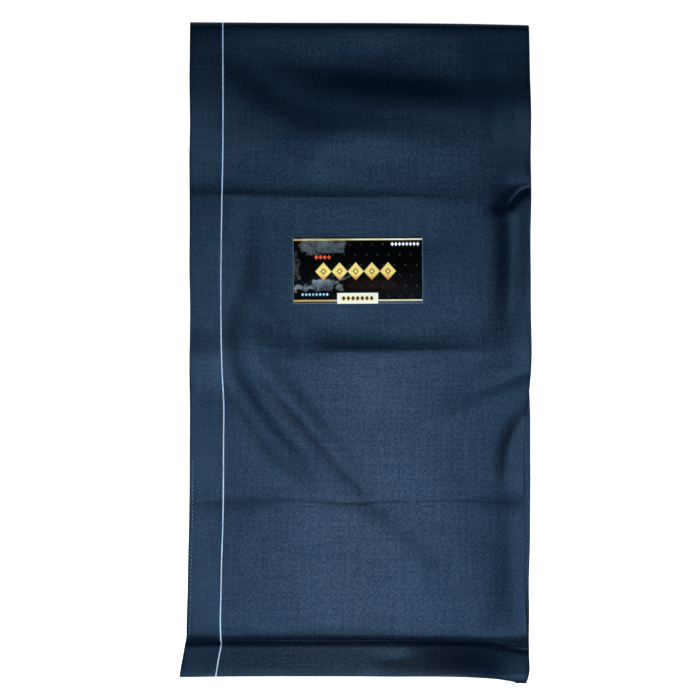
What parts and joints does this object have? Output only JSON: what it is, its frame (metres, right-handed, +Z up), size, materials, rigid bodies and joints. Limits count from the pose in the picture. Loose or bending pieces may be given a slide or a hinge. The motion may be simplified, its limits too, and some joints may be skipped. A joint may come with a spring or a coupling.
{
  "type": "folded sarong",
  "caption": "Dark plain-woven tubular sarong in a long flat fold, doubled at the rear, with a pale border stripe and a blank glossy sticker.",
  "frame": {"origin": "centre of the bounding box in plan, at the surface that the cloth lies on", "axes": "+X to the right across the fold, +Y to the rear along it, towards the rounded turn, +Z up"},
  "size_m": [0.3098, 0.5828, 0.0115],
  "materials": {
    "cloth": "matte",
    "sticker_film": "glossy"
  },
  "bodies": {
    "root": {"face_sheet": "cloth", "rear_fold": "cloth", "under_sheet": "cloth", "band_sheet": "cloth", "hidden_layers": "cloth", "label": "sticker_film"}
  },
  "joints": []
}
